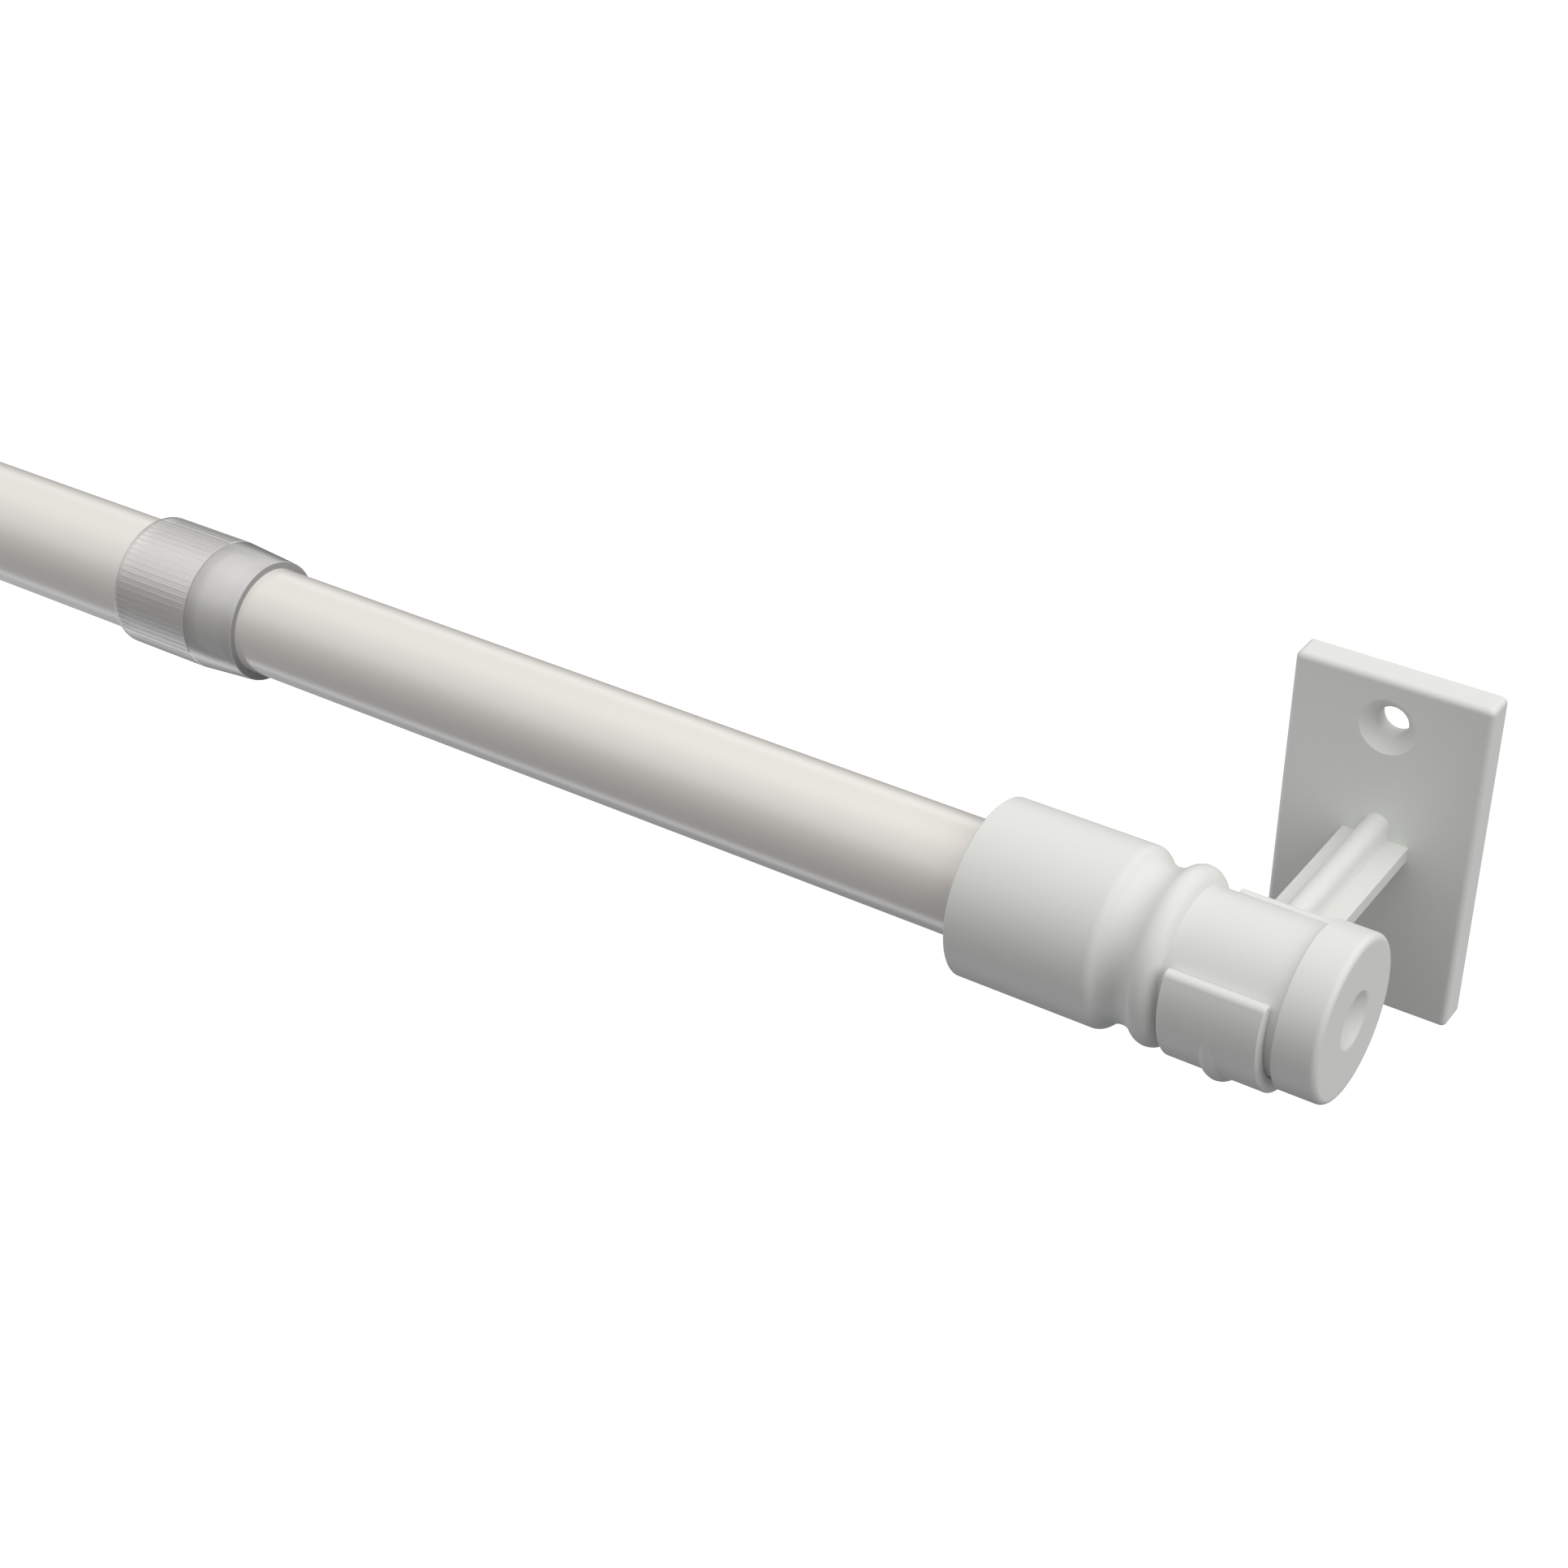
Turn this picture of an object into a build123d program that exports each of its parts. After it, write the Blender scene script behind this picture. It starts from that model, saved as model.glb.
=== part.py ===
from build123d import *
import os
from math import cos, pi, sin, sqrt

# Extendable curtain rod on two snap-in wall brackets, all sizes in millimetres.
# X runs along the rod, +Y points into the wall and +Z is up.
# The origin is on the wall face of the left bracket, midway between its screw holes.

# Tubes
outer_tube_od = 17.5
inner_tube_od = 16.0
tube_wall = 0.5

# Rod lengths, from one end disc's face to the other
closed_length = 450.0
longest_length = 700.0
inner_tube_showing = 122.8
least_overlap = 80.0

# Clearances, each between one surface and the other
socket_clearance = 0.03
sleeve_running_clearance = 0.05
glide_running_clearance = 0.06
clip_running_clearance = 0.05
tube_to_shoulder_gap = 0.2

# Clear sleeve that covers the step between the tubes
sleeve_grip_wall = 1.135
sleeve_end_wall = 1.125
sleeve_grip_length = 13.9
sleeve_taper_length = 8.65
sleeve_rim_length = 0.9
sleeve_step_depth = 0.05
sleeve_lead_in = 0.35
sleeve_edge_radius = 0.12
sleeve_rib_count = 70
sleeve_rib_height = 0.07
sleeve_rib_width = 0.34

# End caps
neck_wall = 1.22
cup_step = 2.225
cup_length = 19.55
cup_shell = 1.7
cup_rim_radius = 0.25
cup_core_depth = 18.4
rib_count = 6
rib_thickness = 1.3
rib_set_back = 0.8
rib_lead_in = 0.7
shoulder_radius = 1.5
groove_rise = 0.5
groove_radius = 3.2
bead_radius = 2.0
disc_lip = 1.05
disc_thickness = 5.8
disc_edge_radius = 0.9
disc_back_radius = 0.15
dimple_d = 7.7
dimple_depth = 1.25
dimple_rim_radius = 0.5
cap_floor = 2.2

# Guide bush pressed into the hidden end of the inner tube
glide_collar_length = 6.0
glide_spigot_length = 9.0
glide_wall = 1.4
glide_chamfer = 0.4

# Wall brackets
axis_to_wall = 41.5
plate_drop = 0.5
plate_width = 27.3
plate_thickness = 4.4
plate_edge_radius = 0.85
arm_offset = 0.35
screw_spacing = 36.0
screw_to_plate_end = 6.9
screw_hole_d = 4.5
countersink_d = 7.9
countersink_angle = 90.0
clip_wall = 1.95
clip_width = 13.5
clip_gap_to_bead = 1.06
clip_gap_to_disc = 1.29
clip_tip_angle = 24.0
clip_edge_radius = 0.28
web_width = 9.45
web_thickness = 2.35
web_drop = 0.35
web_edge_radius = 0.25
spine_width = 3.45
spine_height = 8.8
spine_under_clip = 1.1

# Places worked out from the sizes above
axis_y = -axis_to_wall
axis_z = plate_drop
outer_tube_r = outer_tube_od / 2
inner_tube_r = inner_tube_od / 2
neck_r = outer_tube_r + socket_clearance + neck_wall
cup_r = neck_r + cup_step
groove_r = neck_r + groove_rise
disc_r = neck_r + disc_lip
clip_bore_r = neck_r + clip_running_clearance
clip_outer_r = clip_bore_r + clip_wall
sleeve_grip_r = outer_tube_r + sleeve_running_clearance + sleeve_grip_wall
plate_height = screw_spacing + 2 * screw_to_plate_end

# Distances along a cap, measured from its mouth towards its end disc
shoulder_centre = Vector(cup_length, cup_r - shoulder_radius)
groove_centre_r = groove_r + groove_radius
groove_above_shoulder = groove_centre_r - shoulder_centre.Y
shoulder_to_groove = sqrt((shoulder_radius + groove_radius) ** 2 - groove_above_shoulder ** 2)
groove_centre = Vector(cup_length + shoulder_to_groove, groove_centre_r)
groove_to_bead = sqrt((groove_radius + bead_radius) ** 2 - (groove_centre_r - neck_r) ** 2)
bead_centre = Vector(groove_centre.X + groove_to_bead, neck_r)
neck_start = bead_centre.X + bead_radius
disc_start = neck_start + clip_gap_to_bead + clip_width + clip_gap_to_disc
cap_length = disc_start + disc_thickness
clip_centre = neck_start + clip_gap_to_bead + clip_width / 2
seat_depth = cap_length - dimple_depth - cap_floor

# Places along the rod
left_mouth = arm_offset + clip_centre
sleeve_length = sleeve_grip_length + sleeve_taper_length
sleeve_start = left_mouth + closed_length - 2 * cap_length - sleeve_length
sleeve_step = sleeve_start + sleeve_grip_length
sleeve_end = sleeve_start + sleeve_length
right_mouth = sleeve_end + inner_tube_showing
right_bracket_x = right_mouth + clip_centre - arm_offset
outer_tube_start = left_mouth - seat_depth
outer_tube_end = sleeve_step - tube_to_shoulder_gap
inner_tube_end = right_mouth + seat_depth
travel_left = longest_length - closed_length - inner_tube_showing
inner_tube_start = outer_tube_end - least_overlap - travel_left


def tube(outer_d, start, end):
    """Thin-walled round tube lying along the rod axis."""
    ring = Circle(outer_d / 2) - Circle(outer_d / 2 - tube_wall)
    body = extrude(Plane.YZ * ring, end - start)
    return Pos(start, axis_y, axis_z) * body


def turned(profile):
    """Solid of revolution about the X axis from a closed half profile in the XY plane."""
    return revolve(make_face(profile), Axis.X)


def cap_profile():
    """Half section of an end cap, mouth at X = 0 and end disc on the +X side."""
    def tangent_point(near, far, near_radius):
        return near + (far - near).normalized() * near_radius

    shoulder_start = Vector(cup_length, cup_r)
    into_groove = tangent_point(shoulder_centre, groove_centre, shoulder_radius)
    out_of_groove = tangent_point(bead_centre, groove_centre, bead_radius)
    bead_foot = Vector(neck_start, neck_r)
    back_corner = Vector(disc_start, disc_r)
    front_corner = Vector(cap_length, disc_r)
    shoulder = TangentArc(shoulder_start, into_groove, tangent=(1, 0))
    groove = TangentArc(into_groove, out_of_groove, tangent=shoulder % 1)
    bead = TangentArc(out_of_groove, bead_foot, tangent=groove % 1)
    return [
        Line((0, 0), (0, cup_r)),
        Line((0, cup_r), shoulder_start),
        shoulder,
        groove,
        bead,
        Line(bead_foot, (disc_start, neck_r)),
        Line((disc_start, neck_r), back_corner),
        Line(back_corner, front_corner),
        Line(front_corner, (cap_length, 0)),
        Line((cap_length, 0), (0, 0)),
    ]


def rims_at(body, x):
    """Circular edges of a body at one station along X, smallest first."""
    rims = body.edges().filter_by(GeomType.CIRCLE)
    return rims.filter_by_position(Axis.X, x - 0.01, x + 0.01).sort_by(SortBy.RADIUS)


def cap_body():
    """Solid outer form of an end cap with its rims eased."""
    body = turned(cap_profile())
    body = fillet(rims_at(body, 0), cup_rim_radius)
    body = fillet(rims_at(body, cap_length), disc_edge_radius)
    return fillet(rims_at(body, disc_start)[-1:], disc_back_radius)


def along_x(shape, x):
    """Turn a shape modelled along Z so that it starts at X and runs towards +X."""
    return Plane.YZ.offset(x) * shape


def socket(tube_r):
    """Space inside a cap: a cored cup with ribs, then a round seat down to the floor."""
    upright = (Align.CENTER, Align.CENTER, Align.MIN)
    outward = (Align.MIN, Align.CENTER, Align.MIN)
    seat_r = tube_r + socket_clearance
    core_r = cup_r - cup_shell
    core = Cylinder(core_r, cup_core_depth, align=upright)
    rib = Box(core_r + cup_shell / 2, rib_thickness, cup_core_depth, align=outward)
    ribs = Part() + PolarLocations(0, rib_count) * rib
    space = core - Pos(0, 0, rib_set_back) * ribs
    space += Cylinder(seat_r, seat_depth, align=upright)
    space += Pos(0, 0, rib_set_back) * Cone(seat_r + rib_lead_in, seat_r, rib_lead_in, align=upright)
    return along_x(space, 0)


def end_cap(tube_r):
    """Moulded end cap: cup, shoulder, groove, bead, neck for the clip and dimpled end disc."""
    dimple_r = ((dimple_d / 2) ** 2 + dimple_depth ** 2) / (2 * dimple_depth)
    dimple = Pos(cap_length - dimple_depth + dimple_r, 0, 0) * Sphere(dimple_r)
    body = cap_body() - socket(tube_r) - dimple
    return fillet(rims_at(body, cap_length)[:1], dimple_rim_radius)


def ribbed_band():
    """Grip band of the sleeve: a round bar with fine straight ribs."""
    foot_r = sleeve_grip_r - sleeve_rib_height
    half_angle = sleeve_rib_width / 2 / foot_r
    points = []
    for rib in range(sleeve_rib_count):
        middle = 2 * pi * rib / sleeve_rib_count
        for radius, turn in ((foot_r, -half_angle), (sleeve_grip_r, 0), (foot_r, half_angle)):
            points.append((radius * cos(middle + turn), radius * sin(middle + turn)))
    band_length = sleeve_grip_length - sleeve_rim_length
    outline = make_face(Polyline(*points, close=True))
    return Pos(sleeve_rim_length, 0, 0) * extrude(Plane.YZ * outline, band_length)


def clear_sleeve():
    """Clear push-on sleeve: plain rim, ribbed grip and a taper down to the inner tube."""
    wide_bore_r = outer_tube_r + sleeve_running_clearance
    narrow_bore_r = inner_tube_r + sleeve_running_clearance
    rim_r = sleeve_grip_r - sleeve_rib_height / 2
    core_r = sleeve_grip_r - sleeve_rib_height - sleeve_step_depth
    outside = turned(Polyline(
        (0, 0),
        (0, rim_r),
        (sleeve_rim_length, rim_r),
        (sleeve_rim_length, core_r),
        (sleeve_grip_length, core_r),
        (sleeve_grip_length, sleeve_grip_r - sleeve_step_depth),
        (sleeve_length, narrow_bore_r + sleeve_end_wall),
        (sleeve_length, 0),
        close=True,
    ))
    inside = turned(Polyline(
        (0, 0),
        (0, wide_bore_r),
        (sleeve_grip_length, wide_bore_r),
        (sleeve_grip_length, narrow_bore_r),
        (sleeve_length - sleeve_lead_in, narrow_bore_r),
        (sleeve_length, narrow_bore_r + sleeve_lead_in / 2),
        (sleeve_length, 0),
        close=True,
    ))
    body = outside + ribbed_band() - inside
    return fillet(rims_at(body, sleeve_length)[-1:], sleeve_edge_radius)


def guide_bush():
    """Plastic bush in the inner tube's hidden end; its collar runs in the outer tube."""
    collar_r = outer_tube_r - tube_wall - glide_running_clearance
    spigot_r = inner_tube_r - tube_wall - socket_clearance
    bore_r = spigot_r - glide_wall
    total = glide_collar_length + glide_spigot_length
    return turned(Polyline(
        (0, bore_r),
        (0, collar_r - glide_chamfer),
        (glide_chamfer, collar_r),
        (glide_collar_length, collar_r),
        (glide_collar_length, spigot_r),
        (total - glide_chamfer, spigot_r),
        (total, spigot_r - glide_chamfer),
        (total, bore_r),
        close=True,
    ))


def wall_plate():
    """Bracket plate with eased front edges and two countersunk screw holes."""
    plate = Pos(0, -plate_thickness / 2, 0) * Box(plate_width, plate_thickness, plate_height)
    plate = fillet(plate.edges().filter_by(Axis.Y), plate_edge_radius)
    plate = fillet(plate.faces().sort_by(Axis.Y)[0].edges(), plate_edge_radius)
    for side in (-1, 1):
        front = Plane(origin=(0, -plate_thickness, side * screw_spacing / 2), z_dir=(0, -1, 0))
        plate -= front * CounterSinkHole(
            screw_hole_d / 2, countersink_d / 2, plate_thickness, countersink_angle
        )
    return plate


def snap_clip():
    """Springy C that holds the cap's neck, open at the top, with full-round tips."""
    middle_r = clip_bore_r + clip_wall / 2
    sweep = CenterArc((0, 0), middle_r, 180 - clip_tip_angle, 180 + 2 * clip_tip_angle)
    band = extrude(Plane.YZ * SlotArc(sweep, clip_wall), clip_width / 2, both=True)
    side_edges = band.edges().filter_by(GeomType.CIRCLE)
    outer_edges = [e for e in side_edges if e.radius > middle_r]
    band = fillet(outer_edges, clip_edge_radius)
    return Pos(0, axis_y, axis_z) * band


def under_clip_spine():
    """Round-backed rib that grows out of the clip's front and wraps under it."""
    half = spine_width / 2
    drop = spine_under_clip
    crest_r = sqrt(clip_outer_r ** 2 - drop ** 2)
    root_r = clip_bore_r + clip_wall / 3
    section = Pos(0, (root_r + crest_r - half) / 2) * Rectangle(spine_width, crest_r - half - root_r)
    section += Pos(0, crest_r - half) * Circle(half)
    rib = revolve(section, Axis.X, 180)
    rib = Rot(180, 0, 0) * rib
    return Pos(0, axis_y, axis_z - drop) * rib


def arm():
    """Cross-shaped arm from clip to plate: flat web through a round-edged spine."""
    start = axis_y + clip_bore_r + clip_wall / 2
    length = -plate_thickness - start
    web = Pos(0, web_drop) * RectangleRounded(web_width, web_thickness, web_edge_radius)
    spine = SlotOverall(spine_height, spine_width, rotation=90)
    root = Plane(origin=(0, start, axis_z), x_dir=(1, 0, 0), z_dir=(0, 1, 0))
    return extrude(root * (web + spine), length)


def wall_bracket():
    """One-piece moulded bracket, its plate centred on X = 0 with its back on Y = 0."""
    holder = arm() + snap_clip() + under_clip_spine()
    neck_space = Cylinder(clip_bore_r, 2 * clip_width, rotation=(0, 90, 0))
    holder -= Pos(0, axis_y, axis_z) * neck_space
    return wall_plate() + Pos(arm_offset, 0, 0) * holder


def on_rod(body, x):
    """Place a turned piece, modelled about the X axis, on the rod axis."""
    return Pos(x, axis_y, axis_z) * body


def build():
    """All pieces of the rod, named, in their resting places."""
    bracket = wall_bracket()
    half_turn = Rot(0, 0, 180)
    return {
        "left_bracket": bracket,
        "right_bracket": Pos(right_bracket_x, 0, 0) * bracket,
        "outer_tube": tube(outer_tube_od, outer_tube_start, outer_tube_end),
        "inner_tube": tube(inner_tube_od, inner_tube_start, inner_tube_end),
        "left_end_cap": on_rod(half_turn * end_cap(outer_tube_r), left_mouth),
        "right_end_cap": on_rod(end_cap(inner_tube_r), right_mouth),
        "clear_sleeve": on_rod(clear_sleeve(), sleeve_start),
        "guide_bush": on_rod(guide_bush(), inner_tube_start - glide_collar_length),
    }


os.makedirs("parts", exist_ok=True)
for name, solid in build().items():
    export_step(solid, f"parts/{name}.step")
print("right bracket at", round(right_bracket_x, 3))
print("inner tube from", round(inner_tube_start, 3), "to", round(inner_tube_end, 3))
print("outer tube from", round(outer_tube_start, 3), "to", round(outer_tube_end, 3))
print("sleeve from", round(sleeve_start, 3), "to", round(sleeve_end, 3))
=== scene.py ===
"""Studio look of an extendable curtain rod on two wall brackets."""
import math

import bpy
import bmesh
from mathutils import Matrix, Vector


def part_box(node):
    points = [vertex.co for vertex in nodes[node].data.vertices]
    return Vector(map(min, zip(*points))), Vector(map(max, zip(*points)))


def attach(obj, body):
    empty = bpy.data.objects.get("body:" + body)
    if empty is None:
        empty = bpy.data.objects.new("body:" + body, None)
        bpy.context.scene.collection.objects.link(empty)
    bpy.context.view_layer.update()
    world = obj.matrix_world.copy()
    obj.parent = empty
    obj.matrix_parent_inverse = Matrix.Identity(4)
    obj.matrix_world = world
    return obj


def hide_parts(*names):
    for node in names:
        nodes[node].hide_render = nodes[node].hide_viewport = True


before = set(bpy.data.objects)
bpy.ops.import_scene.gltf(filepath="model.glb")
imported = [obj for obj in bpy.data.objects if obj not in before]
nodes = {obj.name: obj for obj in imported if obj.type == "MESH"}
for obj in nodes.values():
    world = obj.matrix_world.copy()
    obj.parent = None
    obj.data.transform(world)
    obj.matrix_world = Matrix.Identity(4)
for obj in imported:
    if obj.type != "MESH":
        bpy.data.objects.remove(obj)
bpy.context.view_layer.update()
sleeve_low, sleeve_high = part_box("clear_sleeve")

# Camera, fitted to the photograph: place in metres, angles in degrees, lens in millimetres
CAMERA_PLACE = (0.65432, -0.31070, 0.21337)
CAMERA_AZIMUTH = 33.392
CAMERA_ELEVATION = 32.918
CAMERA_ROLL = 0.314
CAMERA_LENS = 66.403
CAMERA_SENSOR = 36.0
CAMERA_NEAREST = 0.01
CAMERA_FARTHEST = 20.0

# Broad soft lights: direction towards the light, strength and narrowness
OVERHEAD_LIGHT = ((0.0, 0.0, 1.0), 1.5, 4.5)
RIGHT_END_LIGHT = ((0.85, 0.0, 0.5), 1.9, 7.0)
HIGH_LEFT_LIGHT = ((-0.9, 0.0, 0.4), 0.5, 8.0)
LOW_LEFT_LIGHT = ((-0.85, 0.0, -0.5), 0.9, 8.0)
SOFT_LIGHTS = (OVERHEAD_LIGHT, RIGHT_END_LIGHT, HIGH_LEFT_LIGHT, LOW_LEFT_LIGHT)

# Long strip lights beside the rod: degrees about the rod from the wall upwards, strength and narrowness
WALL_SIDE_STRIP = (27.0, 1.0, 25.0)
FRONT_STRIP = (138.0, 0.6, 14.0)
LOW_STRIP = (259.0, 1.2, 55.0)
LOW_WALL_STRIP = (324.0, 0.45, 30.0)
STRIP_LIGHTS = (WALL_SIDE_STRIP, FRONT_STRIP, LOW_STRIP, LOW_WALL_STRIP)

# Curve that holds the strip lights: its highest brightness and its steps round the rod
STRIP_TOP = 1.5
STRIP_STEPS = 72

# Share of the white background, beside the lights, that gloss shows
BACKGROUND_IN_GLOSS = 0.12

# Light from above is a little warmer than light from below
TINT_RISE = (0.022, 0.008, -0.022)

# Floor well below the brackets, in metres, pale and with some light of its own
FLOOR_DROP = 0.60
FLOOR_SIZE = 6.0
FLOOR_MIDDLE = 0.3
FLOOR_TONE = 0.85
FLOOR_ROUGHNESS = 0.9
FLOOR_GLOW = 0.35

# Colours of the tubes' paint and of the plastics, and a dark grey that is painted shade on the clear
# sleeve's narrow end, bore end and step line
PAINT_COLOUR = (0.846, 0.820, 0.784)
WHITE_COLOUR = (0.794, 0.808, 0.790)
BUSH_COLOUR = (0.60, 0.60, 0.58)
EDGE_SHADE_COLOUR = (0.31, 0.31, 0.312)

# Noise scales of paint, moulded grain and handling marks, and the grain's heights in metres
PAINT_SCALE = 900.0
MOULDED_SCALE = 1500.0
HANDLING_SCALE = 60.0
MOULDED_HEIGHT = 0.000006
POLISHED_HEIGHT = 0.000002

# Clear plastic: roughness of its grey skin and of its gloss, and an even spread of facing
GREY_SKIN_ROUGHNESS = 0.5
CLEAR_GLOSS_ROUGHNESS = 0.28
EVEN_FACING = 0.5

# The rod's line, in metres, and where the clear sleeve starts on it, in millimetres
ROD_Y = (sleeve_low[1] + sleeve_high[1]) / 2
ROD_Z = (sleeve_low[2] + sleeve_high[2]) / 2
SLEEVE_START = sleeve_low[0] * 1000

# Lengths of the clear sleeve, in millimetres from its wide end
SLEEVE_RIM = 0.9
SLEEVE_STEP = 13.9
SLEEVE_LENGTH = 22.55

# Radii of the clear sleeve, in millimetres, and one between its bores and its outside
WIDE_BORE_R = 8.80
NARROW_BORE_R = 8.05
GRIP_R = 9.865
RIM_R = 9.88
STEP_LINE_R = 9.76
TAPER_START_R = 9.85
TAPER_END_R = 9.175
OUTSIDE_R = 9.5

# Rounded ends, step line, lead-in and the stretch of the narrow bore painted dark grey as shade, in
# millimetres
END_ROUND = 0.12
END_ROUND_MIDDLE = 0.04
STEP_LINE_FLAT = 0.12
STEP_LINE_SLOPE = 0.08
LEAD_IN = 0.25
PAINTED_SHADE_BORE = 3.0

# Fine ribs along the grip, in millimetres, the first one at an angle in degrees
RIB_COUNT = 70
RIB_HEIGHT = 0.032
RIB_WIDTH = 0.34
RIB_PHASE = 82.8
RIB_END_GAP = 0.05
GRIP_STEPS = 6

# Mesh of the sleeve: steps round it, merging distance in millimetres, and what counts as an end face
SLEEVE_SEGMENTS = 840
MERGE_DISTANCE = 0.0005
END_FACING = 0.9
SHARP_ANGLE = 35.0

# Painted shade at the start of the taper: its length in millimetres and its tone at the step line
SHADE_LENGTH = 3.0
SHADE_AT_STEP = 0.68


def node_at(tree, kind, **values):
    """Adds a shader node and sets its plain properties and inputs."""
    node = tree.nodes.new(kind)
    for name, value in values.items():
        if name in node.inputs:
            node.inputs[name].default_value = value
        else:
            setattr(node, name, value)
    return node


def math_at(tree, operation, *values):
    """Adds a Math node: each value is a number or another node's output."""
    node = node_at(tree, "ShaderNodeMath", operation=operation)
    for number, value in enumerate(values):
        if isinstance(value, bpy.types.NodeSocket):
            tree.links.new(value, node.inputs[number])
        else:
            node.inputs[number].default_value = value
    return node.outputs["Value"]


def new_material(name):
    """An empty node material and its tree."""
    material = bpy.data.materials.new(name)
    material.use_nodes = True
    material.node_tree.nodes.clear()
    return material, material.node_tree


def plastic_grain_group():
    """Fine moulded grain and faint handling marks, from Object coordinates."""
    group = bpy.data.node_groups.new("moulded_grain", "ShaderNodeTree")
    face = group.interface
    face.new_socket("Scale", in_out="INPUT", socket_type="NodeSocketFloat")
    face.new_socket("Tone", in_out="OUTPUT", socket_type="NodeSocketFloat")
    face.new_socket("Height", in_out="OUTPUT", socket_type="NodeSocketFloat")
    start = group.nodes.new("NodeGroupInput")
    end = group.nodes.new("NodeGroupOutput")
    place = node_at(group, "ShaderNodeTexCoord")
    fine = node_at(group, "ShaderNodeTexNoise", Detail=3.0, Roughness=0.6)
    broad = node_at(group, "ShaderNodeTexNoise", Scale=HANDLING_SCALE, Detail=2.0, Roughness=0.5)
    group.links.new(place.outputs["Object"], fine.inputs["Vector"])
    group.links.new(place.outputs["Object"], broad.inputs["Vector"])
    group.links.new(start.outputs["Scale"], fine.inputs["Scale"])
    group.links.new(fine.outputs["Fac"], end.inputs["Height"])
    group.links.new(broad.outputs["Fac"], end.inputs["Tone"])
    return group


GRAIN = plastic_grain_group()


def solid_material(
    name, colour, roughness, spread, grain_scale, grain_height,
    coat=0.0, coat_roughness=0.1, coat_ior=1.5,
):
    """Opaque material with fine grain, a faint spread of roughness and an optional clear coat."""
    material, tree = new_material(name)
    out = node_at(tree, "ShaderNodeOutputMaterial")
    skin = node_at(tree, "ShaderNodeBsdfPrincipled")
    skin.inputs["Base Color"].default_value = (*colour, 1.0)
    skin.inputs["Coat Weight"].default_value = coat
    skin.inputs["Coat Roughness"].default_value = coat_roughness
    skin.inputs["Coat IOR"].default_value = coat_ior
    grain = node_at(tree, "ShaderNodeGroup")
    grain.node_tree = GRAIN
    grain.inputs["Scale"].default_value = grain_scale
    rough = node_at(tree, "ShaderNodeMapRange")
    rough.inputs["To Min"].default_value = roughness - spread
    rough.inputs["To Max"].default_value = roughness + spread
    bump = node_at(tree, "ShaderNodeBump")
    bump.inputs["Strength"].default_value = 1.0
    bump.inputs["Distance"].default_value = grain_height
    tree.links.new(grain.outputs["Tone"], rough.inputs["Value"])
    tree.links.new(rough.outputs["Result"], skin.inputs["Roughness"])
    tree.links.new(grain.outputs["Height"], bump.inputs["Height"])
    tree.links.new(bump.outputs["Normal"], skin.inputs["Normal"])
    tree.links.new(skin.outputs["BSDF"], out.inputs["Surface"])
    return material


def turned_away(tree, facing, turn, face_on, edge_on):
    """Value that goes from face_on to edge_on as the surface turns away through a range of facing."""
    blend = node_at(tree, "ShaderNodeMapRange", interpolation_type="SMOOTHSTEP")
    blend.inputs["From Min"].default_value, blend.inputs["From Max"].default_value = turn
    blend.inputs["To Min"].default_value = face_on
    blend.inputs["To Max"].default_value = edge_on
    tree.links.new(facing, blend.inputs["Value"])
    return blend.outputs["Result"]


def taper_shade(tree):
    """Painted shade just past the step line, where the outer tube ends under the sleeve."""
    place = node_at(tree, "ShaderNodeTexCoord")
    split = node_at(tree, "ShaderNodeSeparateXYZ")
    tree.links.new(place.outputs["Object"], split.inputs["Vector"])
    shade = node_at(tree, "ShaderNodeMapRange", interpolation_type="SMOOTHSTEP")
    step_line = SLEEVE_START + SLEEVE_STEP
    shade.inputs["From Min"].default_value = step_line / 1000
    shade.inputs["From Max"].default_value = (step_line + SHADE_LENGTH) / 1000
    shade.inputs["To Min"].default_value = SHADE_AT_STEP
    shade.inputs["To Max"].default_value = 1.0
    tree.links.new(split.outputs["X"], shade.inputs["Value"])
    return shade.outputs["Result"]


def shell_material(name, tones, densities, glosses, turn, shaded=False):
    """Clear plastic drawn as a grey see-through skin: tone, density and share of gloss, each face-on and
    edge-on; the tone's change with facing is painted light and shade.
    """
    material, tree = new_material(name)
    out = node_at(tree, "ShaderNodeOutputMaterial")
    skin = node_at(tree, "ShaderNodeBsdfPrincipled")
    skin.inputs["Roughness"].default_value = GREY_SKIN_ROUGHNESS
    skin.inputs["Specular IOR Level"].default_value = 0.0
    facing = node_at(tree, "ShaderNodeLayerWeight")
    facing.inputs["Blend"].default_value = EVEN_FACING
    side = node_at(tree, "ShaderNodeNewGeometry")
    front = math_at(tree, "SUBTRACT", 1.0, side.outputs["Backfacing"])
    # Painted light and shade: the grey tone changes as the surface turns from face-on to edge-on
    tone = turned_away(tree, facing.outputs["Facing"], turn, *tones)
    # Painted shade: the taper's tone is darker just past the step line
    if shaded:
        tone = math_at(tree, "MULTIPLY", tone, taper_shade(tree))
    tree.links.new(tone, skin.inputs["Base Color"])
    density = turned_away(tree, facing.outputs["Facing"], turn, *densities)
    tree.links.new(math_at(tree, "MULTIPLY", density, front), skin.inputs["Alpha"])
    gloss = node_at(tree, "ShaderNodeBsdfAnisotropic")
    gloss.inputs["Color"].default_value = (1, 1, 1, 1)
    gloss.inputs["Roughness"].default_value = CLEAR_GLOSS_ROUGHNESS
    share = turned_away(tree, facing.outputs["Facing"], turn, *glosses)
    mix = node_at(tree, "ShaderNodeMixShader")
    tree.links.new(math_at(tree, "MULTIPLY", share, front), mix.inputs["Fac"])
    tree.links.new(skin.outputs["BSDF"], mix.inputs[1])
    tree.links.new(gloss.outputs["BSDF"], mix.inputs[2])
    tree.links.new(mix.outputs["Shader"], out.inputs["Surface"])
    return material


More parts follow.
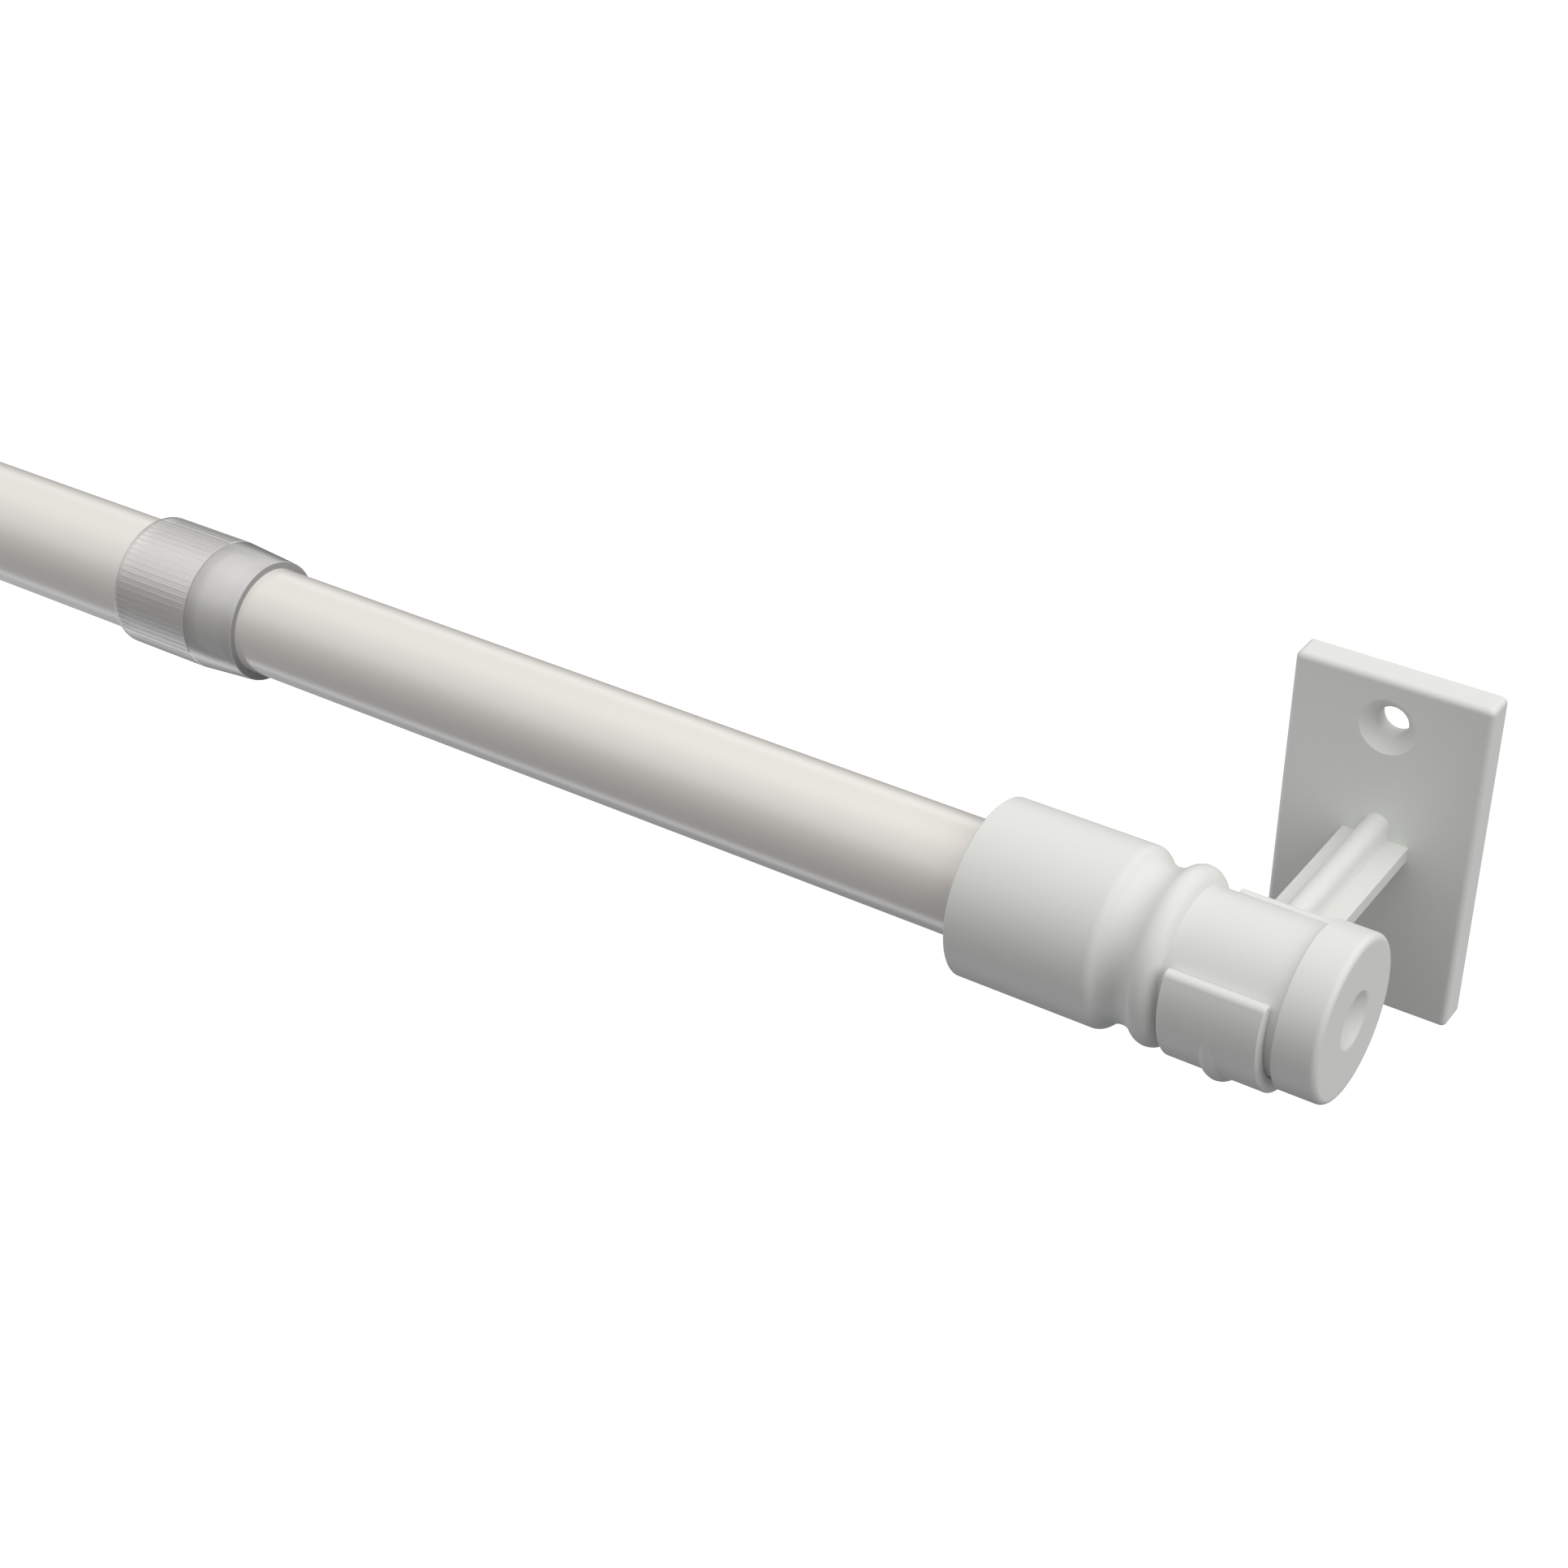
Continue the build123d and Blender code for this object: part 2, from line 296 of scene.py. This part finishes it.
TUBE_PAINT = solid_material(
    "tube_paint", PAINT_COLOUR, roughness=0.50, spread=0.03,
    grain_scale=PAINT_SCALE, grain_height=0.0, coat=1.0, coat_roughness=0.06, coat_ior=1.90,
)
WHITE_PLASTIC = solid_material(
    "white_plastic", WHITE_COLOUR, roughness=0.42, spread=0.04,
    grain_scale=MOULDED_SCALE, grain_height=MOULDED_HEIGHT,
)
BUSH_PLASTIC = solid_material(
    "bush_plastic", BUSH_COLOUR, roughness=0.55, spread=0.04,
    grain_scale=MOULDED_SCALE, grain_height=MOULDED_HEIGHT,
)
CLEAR_GRIP = shell_material(
    "clear_grip", tones=(0.27, 0.31), densities=(0.34, 1.0), glosses=(0.40, 0.42), turn=(0.28, 0.79),
)
# Painted light and shade on the taper: a light tone face-on that turns much darker edge-on
CLEAR_TAPER = shell_material(
    "clear_taper", tones=(0.56, 0.12), densities=(0.90, 1.0), glosses=(0.18, 0.55), turn=(0.39, 0.62),
    shaded=True,
)
CLEAR_INSIDE = shell_material(
    "clear_inside", tones=(0.10, 0.10), densities=(0.02, 0.10), glosses=(0.0, 0.0), turn=(0.32, 0.80),
)
# Painted shade: an opaque dark grey for the clear sleeve's narrow end, the end of its narrow bore and its
# step line
CLEAR_EDGE_SHADE = solid_material(
    "clear_edge_painted_shade", EDGE_SHADE_COLOUR, roughness=0.30, spread=0.03,
    grain_scale=MOULDED_SCALE, grain_height=POLISHED_HEIGHT,
)
SLEEVE_MATERIALS = (CLEAR_GRIP, CLEAR_INSIDE, CLEAR_EDGE_SHADE, CLEAR_TAPER)


def paint(node_name, material):
    """Gives a CAD node one material."""
    mesh = nodes[node_name].data
    mesh.materials.clear()
    mesh.materials.append(material)


def dress_cad_nodes():
    """Materials of the tubes, the mouldings and the hidden bush."""
    for name in ("outer_tube", "inner_tube"):
        paint(name, TUBE_PAINT)
    for name in ("left_bracket", "right_bracket", "left_end_cap", "right_end_cap"):
        paint(name, WHITE_PLASTIC)
    paint("guide_bush", BUSH_PLASTIC)


def soft_lights(tree, ray):
    """Sum of the broad lights, each full in its middle and soft all round."""
    total = 0.0
    for towards, strength, narrowness in SOFT_LIGHTS:
        dot = node_at(tree, "ShaderNodeVectorMath", operation="DOT_PRODUCT")
        dot.inputs[1].default_value = Vector(towards).normalized() * narrowness
        tree.links.new(ray, dot.inputs[0])
        inside = math_at(tree, "EXPONENT", dot.outputs["Value"], 0.0)
        total = math_at(tree, "MULTIPLY_ADD", inside, strength * math.exp(-narrowness), total)
    return total


def strip_level(angle):
    """Brightness of all the strip lights at one angle about the rod, in radians."""
    total = 0.0
    for middle, strength, narrowness in STRIP_LIGHTS:
        total += strength * math.exp(narrowness * (math.cos(angle - math.radians(middle)) - 1))
    return total


def strip_lights(tree, split):
    """The strip lights as a curve of the angle about the rod, fading towards the rod's two ends."""
    angle = math_at(tree, "ARCTAN2", split.outputs["Z"], split.outputs["Y"])
    curve = node_at(tree, "ShaderNodeFloatCurve")
    line = curve.mapping.curves[0]
    for step in range(1, STRIP_STEPS):
        share = step / STRIP_STEPS
        line.points.new(share, strip_level(math.tau * (share - 0.5)) / STRIP_TOP)
    for end in (line.points[0], line.points[-1]):
        end.location.y = strip_level(math.pi) / STRIP_TOP
    curve.mapping.update()
    tree.links.new(math_at(tree, "MULTIPLY_ADD", angle, 1 / math.tau, 0.5), curve.inputs["Value"])
    across = math_at(tree, "MULTIPLY", split.outputs["X"], split.outputs["X"])
    aside = math_at(tree, "MULTIPLY_ADD", across, -STRIP_TOP, STRIP_TOP)
    return math_at(tree, "MULTIPLY", curve.outputs["Value"], aside)


def studio_world():
    """Soft light for the object, and a white background that reflections show a share of."""
    world = bpy.data.worlds.new("studio")
    world.use_nodes = True
    tree = world.node_tree
    tree.nodes.clear()
    place = node_at(tree, "ShaderNodeTexCoord")
    aim = node_at(tree, "ShaderNodeVectorMath", operation="NORMALIZE")
    tree.links.new(place.outputs["Generated"], aim.inputs[0])
    ray = aim.outputs["Vector"]
    split = node_at(tree, "ShaderNodeSeparateXYZ")
    tree.links.new(ray, split.inputs["Vector"])
    tint = node_at(tree, "ShaderNodeVectorMath", operation="MULTIPLY_ADD")
    tint.inputs[1].default_value = TINT_RISE
    tint.inputs[2].default_value = (1, 1, 1)
    tree.links.new(split.outputs["Z"], tint.inputs[0])
    level = math_at(tree, "ADD", soft_lights(tree, ray), strip_lights(tree, split))
    light = node_at(tree, "ShaderNodeBackground")
    tree.links.new(tint.outputs["Vector"], light.inputs["Color"])
    tree.links.new(level, light.inputs["Strength"])
    white = node_at(tree, "ShaderNodeBackground")
    white.inputs["Color"].default_value = (1, 1, 1, 1)
    path = node_at(tree, "ShaderNodeLightPath")
    mirrored = math_at(tree, "MAXIMUM", path.outputs["Is Glossy Ray"], path.outputs["Is Transmission Ray"])
    mirrored = math_at(tree, "MULTIPLY", mirrored, BACKGROUND_IN_GLOSS)
    mix = node_at(tree, "ShaderNodeMixShader")
    tree.links.new(math_at(tree, "MAXIMUM", path.outputs["Is Camera Ray"], mirrored), mix.inputs["Fac"])
    tree.links.new(light.outputs["Background"], mix.inputs[1])
    tree.links.new(white.outputs["Background"], mix.inputs[2])
    out = node_at(tree, "ShaderNodeOutputWorld")
    tree.links.new(mix.outputs["Shader"], out.inputs["Surface"])
    bpy.context.scene.world = world


def floor():
    """Plain pale floor, seen by the camera and kept out of the light on the object."""
    material, tree = new_material("pale_floor")
    out = node_at(tree, "ShaderNodeOutputMaterial")
    skin = node_at(tree, "ShaderNodeBsdfPrincipled")
    skin.inputs["Base Color"].default_value = (FLOOR_TONE, FLOOR_TONE, FLOOR_TONE, 1.0)
    skin.inputs["Roughness"].default_value = FLOOR_ROUGHNESS
    skin.inputs["Emission Color"].default_value = (1, 1, 1, 1)
    skin.inputs["Emission Strength"].default_value = FLOOR_GLOW
    tree.links.new(skin.outputs["BSDF"], out.inputs["Surface"])
    work = bmesh.new()
    bmesh.ops.create_grid(work, x_segments=1, y_segments=1, size=FLOOR_SIZE / 2)
    bmesh.ops.translate(work, verts=work.verts, vec=(FLOOR_MIDDLE, 0, -FLOOR_DROP))
    sheet = bpy.data.meshes.new("floor")
    work.to_mesh(sheet)
    work.free()
    sheet.materials.append(material)
    piece = bpy.data.objects.new("floor", sheet)
    piece.visible_diffuse = False
    piece.visible_glossy = False
    piece.visible_transmission = False
    piece.visible_shadow = False
    bpy.context.scene.collection.objects.link(piece)


def sleeve_profile():
    """Half section of the sleeve as (distance, radius) points, from the wide bore round the outside."""
    grip_start = SLEEVE_RIM + RIB_END_GAP
    grip_length = SLEEVE_STEP - RIB_END_GAP - grip_start
    grip = [(grip_start + grip_length * step / GRIP_STEPS, GRIP_R) for step in range(GRIP_STEPS + 1)]
    taper_start = SLEEVE_STEP + STEP_LINE_FLAT + STEP_LINE_SLOPE
    return [
        (0.0, WIDE_BORE_R),
        (0.0, RIM_R - END_ROUND),
        (END_ROUND_MIDDLE, RIM_R - END_ROUND_MIDDLE),
        (END_ROUND, RIM_R),
        (SLEEVE_RIM, RIM_R),
        *grip,
        (SLEEVE_STEP, STEP_LINE_R),
        (SLEEVE_STEP + STEP_LINE_FLAT, STEP_LINE_R),
        (taper_start, TAPER_START_R),
        (SLEEVE_LENGTH - END_ROUND, TAPER_END_R),
        (SLEEVE_LENGTH - END_ROUND_MIDDLE, TAPER_END_R - END_ROUND_MIDDLE),
        (SLEEVE_LENGTH, TAPER_END_R - END_ROUND),
        (SLEEVE_LENGTH, NARROW_BORE_R + LEAD_IN / 3),
        (SLEEVE_LENGTH - LEAD_IN, NARROW_BORE_R),
        (SLEEVE_LENGTH - PAINTED_SHADE_BORE, NARROW_BORE_R),
        (SLEEVE_STEP, NARROW_BORE_R),
        (SLEEVE_STEP, WIDE_BORE_R),
    ]


def rib_rise(angle):
    """Height of the grip's fine ribs at an angle about the rod, in millimetres."""
    pitch = 360.0 / RIB_COUNT
    away = (angle - RIB_PHASE + pitch / 2) % pitch - pitch / 2
    reach = abs(math.radians(away) * GRIP_R) / (RIB_WIDTH / 2)
    if reach >= 1:
        return 0.0
    return RIB_HEIGHT * (0.5 + 0.5 * math.cos(math.pi * reach))


def raise_ribs(work):
    """Lifts the outside of the grip into fine ribs along the rod."""
    first = SLEEVE_START + SLEEVE_RIM + RIB_END_GAP / 2
    last = SLEEVE_START + SLEEVE_STEP - RIB_END_GAP / 2
    for vert in work.verts:
        radius = math.hypot(vert.co.y, vert.co.z)
        if first < vert.co.x < last and radius > OUTSIDE_R:
            angle = math.degrees(math.atan2(vert.co.z, vert.co.y))
            stretch = 1 + rib_rise(angle) / radius
            vert.co.y *= stretch
            vert.co.z *= stretch


def sleeve_material_of(face):
    """Material for one face of the sleeve, before the sleeve is moved onto the rod."""
    centre = face.calc_center_median()
    radius = math.hypot(centre.y, centre.z)
    outward = (face.normal.y * centre.y + face.normal.z * centre.z) / radius
    along = centre.x - SLEEVE_START
    past_step = along - SLEEVE_STEP
    # Painted shade: the narrow end face and the last stretch of the narrow bore get the dark grey
    if along > SLEEVE_LENGTH - PAINTED_SHADE_BORE and (face.normal.x > END_FACING or outward < 0):
        return CLEAR_EDGE_SHADE
    # Painted shade: the step line gets the dark grey
    if 0 < past_step < STEP_LINE_FLAT + STEP_LINE_SLOPE and radius > OUTSIDE_R:
        return CLEAR_EDGE_SHADE
    if outward < 0 or face.normal.x < -END_FACING:
        return CLEAR_INSIDE
    if past_step > 0:
        return CLEAR_TAPER
    return CLEAR_GRIP


def clear_sleeve():
    """Clear sleeve: plain rim, finely ribbed grip and smooth taper."""
    work = bmesh.new()
    ring = [work.verts.new((SLEEVE_START + x, r, 0.0)) for x, r in sleeve_profile()]
    edges = [work.edges.new((ring[k], ring[(k + 1) % len(ring)])) for k in range(len(ring))]
    bmesh.ops.spin(
        work, geom=ring + edges, axis=(1, 0, 0), cent=(0, 0, 0), angle=math.tau,
        steps=SLEEVE_SEGMENTS, use_merge=True, use_duplicate=False,
    )
    bmesh.ops.remove_doubles(work, verts=work.verts, dist=MERGE_DISTANCE)
    bmesh.ops.recalc_face_normals(work, faces=work.faces)
    raise_ribs(work)
    for face in work.faces:
        face.smooth = True
        face.material_index = SLEEVE_MATERIALS.index(sleeve_material_of(face))
    bmesh.ops.scale(work, verts=work.verts, vec=(0.001, 0.001, 0.001))
    bmesh.ops.translate(work, verts=work.verts, vec=(0, ROD_Y, ROD_Z))
    mesh = bpy.data.meshes.new("clear_sleeve_ribbed")
    work.to_mesh(mesh)
    work.free()
    for material in SLEEVE_MATERIALS:
        mesh.materials.append(material)
    mesh.set_sharp_from_angle(angle=math.radians(SHARP_ANGLE))
    piece = bpy.data.objects.new("clear_sleeve_ribbed", mesh)
    # Clear plastic lets the light through to the tubes
    piece.visible_shadow = False
    piece.visible_diffuse = False
    bpy.context.scene.collection.objects.link(piece)
    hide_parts("clear_sleeve")
    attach(piece, "outer_rod")


def camera():
    """Camera at the photograph's place and angle."""
    azimuth = math.radians(CAMERA_AZIMUTH)
    elevation = math.radians(CAMERA_ELEVATION)
    roll = math.radians(CAMERA_ROLL)
    back = Vector((
        math.sin(azimuth) * math.cos(elevation),
        -math.cos(azimuth) * math.cos(elevation),
        math.sin(elevation),
    ))
    right = Vector((0, 0, 1)).cross(back).normalized()
    up = back.cross(right)
    rolled_right = right * math.cos(roll) + up * math.sin(roll)
    rolled_up = up * math.cos(roll) - right * math.sin(roll)
    turn = Matrix((rolled_right, rolled_up, back)).transposed()
    data = bpy.data.cameras.new("camera")
    data.sensor_width = CAMERA_SENSOR
    data.lens = CAMERA_LENS
    data.clip_start = CAMERA_NEAREST
    data.clip_end = CAMERA_FARTHEST
    holder = bpy.data.objects.new("camera", data)
    holder.matrix_world = Matrix.Translation(CAMERA_PLACE) @ turn.to_4x4()
    bpy.context.scene.collection.objects.link(holder)
    bpy.context.scene.camera = holder


dress_cad_nodes()
studio_world()
floor()
clear_sleeve()
camera()
bpy.context.scene.view_settings.view_transform = "Standard"
